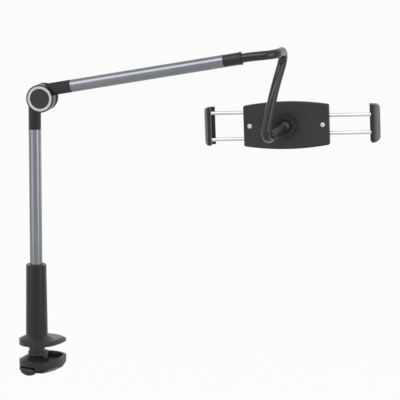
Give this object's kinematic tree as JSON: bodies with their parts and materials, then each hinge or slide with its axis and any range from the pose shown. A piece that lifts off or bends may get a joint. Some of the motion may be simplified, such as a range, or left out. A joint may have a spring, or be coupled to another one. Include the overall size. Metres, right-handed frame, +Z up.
{
  "type": "phone and tablet stand",
  "caption": "Desk-clamped phone and tablet stand: swivelling pole, friction elbow, tube arm, short gooseneck and a spring-loaded clip holder on a ball joint.",
  "frame": {"origin": "on the pole axis at the underside of the desk pad, where the stand rests on the desk", "axes": "+Z up along the pole, +X under the upper arm, -Y toward the viewer of the picture"},
  "size_m": [0.5319, 0.1742, 0.5081],
  "materials": {
    "black_plastic": "satin, fine moulded grain",
    "dark_metal": "satin black powder coat",
    "silver_tube": "satin anodised",
    "ring_metal": "light brushed",
    "steel": "plain",
    "rod_chrome": "polished",
    "rubber": "matt",
    "hose_rubber": "satin",
    "bearing_plastic": "plain",
    "screw_steel": "polished"
  },
  "bodies": {
    "base": {"upper_jaw": "dark_metal", "desk_pad": "rubber", "base_sleeve": "black_plastic", "sleeve_bushes": "bearing_plastic", "sleeve_plug": "steel", "thrust_washer": "bearing_plastic", "clamp_post": "dark_metal", "base_bolt": "steel"},
    "clamp_jaw": {"lower_jaw": "black_plastic", "tooth_insert": "steel", "cam_shoe": "steel", "lever_pin": "steel"},
    "lever": {"clamp_lever": "black_plastic"},
    "pole": {"lower_tube_plug": "bearing_plastic", "lower_tube": "silver_tube", "lower_elbow_socket": "black_plastic", "elbow_bush": "bearing_plastic", "friction_washer": "bearing_plastic", "front_trim_ring": "ring_metal", "front_cap": "black_plastic"},
    "arm": {"upper_elbow_socket": "black_plastic", "back_trim_ring": "ring_metal", "back_cap": "black_plastic", "elbow_bolt": "steel", "elbow_nut": "steel", "disc_springs": "steel", "upper_tube": "silver_tube", "arm_end_sleeve": "black_plastic", "hose_ferrule": "steel", "hose_1": "hose_rubber"},
    "neck_2": {"hose_2": "hose_rubber"},
    "neck_3": {"hose_3": "hose_rubber"},
    "neck_4": {"hose_4": "hose_rubber"},
    "neck_5": {"hose_5": "hose_rubber"},
    "neck_6": {"hose_6": "hose_rubber"},
    "stem": {"hose_7": "hose_rubber", "ball_stud": "dark_metal"},
    "liner": {"ball_liner": "bearing_plastic"},
    "socket": {"socket_housing": "dark_metal", "lock_nut": "black_plastic"},
    "plate": {"back_plate": "black_plastic", "front_cover": "black_plastic", "plate_screws": "screw_steel", "left_springs": "steel", "right_springs": "steel"},
    "left_grip": {"left_jaw": "black_plastic", "left_jaw_pad": "rubber", "left_rods": "rod_chrome", "left_rod_collars": "steel"},
    "right_grip": {"right_jaw": "black_plastic", "right_jaw_pad": "rubber", "right_rods": "rod_chrome", "right_rod_collars": "steel"}
  },
  "joints": [
    {"name": "jaw_slide", "type": "slide", "parent": "base", "child": "clamp_jaw", "axis": [0, 0, 1], "range_m": [-0.02, 0.009]},
    {"name": "clamp_lever", "type": "hinge", "parent": "clamp_jaw", "child": "lever", "pos_m": [-0.00664, -0.01565, -0.0362], "axis": [0.9205, -0.3907, 0], "range_deg": [0, 30]},
    {"name": "pole_swivel", "type": "hinge", "parent": "base", "child": "pole", "pos_m": [0, 0, 0.08], "axis": [0, 0, 1], "continuous": true},
    {"name": "elbow_fold", "type": "hinge", "parent": "pole", "child": "arm", "pos_m": [0.012, 0, 0.3805], "axis": [0, -1, 0], "range_deg": [-70, 75]},
    {"name": "neck_bend_1", "type": "hinge", "parent": "arm", "child": "neck_2", "pos_m": [0.32397, 0.0001, 0.45057], "axis": [-0.1793, 0.2905, 0.9399], "range_deg": [-25, 25]},
    {"name": "neck_bend_2", "type": "hinge", "parent": "neck_2", "child": "neck_3", "pos_m": [0.34858, 0.0052, 0.45369], "axis": [0.3192, -0.9475, 0.0193], "range_deg": [-25, 25]},
    {"name": "neck_bend_3", "type": "hinge", "parent": "neck_3", "child": "neck_4", "pos_m": [0.36981, 0.03663, 0.4557], "axis": [-0.9814, 0.0436, 0.187], "range_deg": [-25, 25]},
    {"name": "neck_bend_4", "type": "hinge", "parent": "neck_4", "child": "neck_5", "pos_m": [0.36493, 0.05787, 0.42514], "axis": [-0.2438, -0.8619, 0.4447], "range_deg": [-25, 25]},
    {"name": "neck_bend_5", "type": "hinge", "parent": "neck_5", "child": "neck_6", "pos_m": [0.35791, 0.04324, 0.38911], "axis": [0.9514, -0.3016, -0.063], "range_deg": [-25, 25]},
    {"name": "neck_bend_6", "type": "hinge", "parent": "neck_6", "child": "stem", "pos_m": [0.35126, 0.0313, 0.34575], "axis": [-0.2224, -0.9413, 0.2541], "range_deg": [-25, 25]},
    {"name": "holder_tilt", "type": "hinge", "parent": "stem", "child": "liner", "pos_m": [0.3662, 0.09205, 0.33676], "axis": [0.9946, 0.0947, 0.0427], "range_deg": [-5, 42]},
    {"name": "holder_pan", "type": "hinge", "parent": "liner", "child": "socket", "pos_m": [0.3662, 0.09205, 0.33676], "axis": [-0.0477, 0.0516, 0.9975], "range_deg": [-44, 3]},
    {"name": "holder_spin", "type": "hinge", "parent": "socket", "child": "plate", "pos_m": [0.3662, 0.09205, 0.33676], "axis": [0.0922, -0.9942, 0.0558], "continuous": true},
    {"name": "left_jaw_slide", "type": "slide", "parent": "plate", "child": "left_grip", "axis": [0.9946, 0.0947, 0.0427], "range_m": [-0.022, 0.048], "deforming": ["left_springs"]},
    {"name": "right_jaw_slide", "type": "slide", "parent": "plate", "child": "right_grip", "axis": [-0.9946, -0.0947, -0.0427], "range_m": [-0.01, 0.06], "deforming": ["right_springs"]}
  ]
}
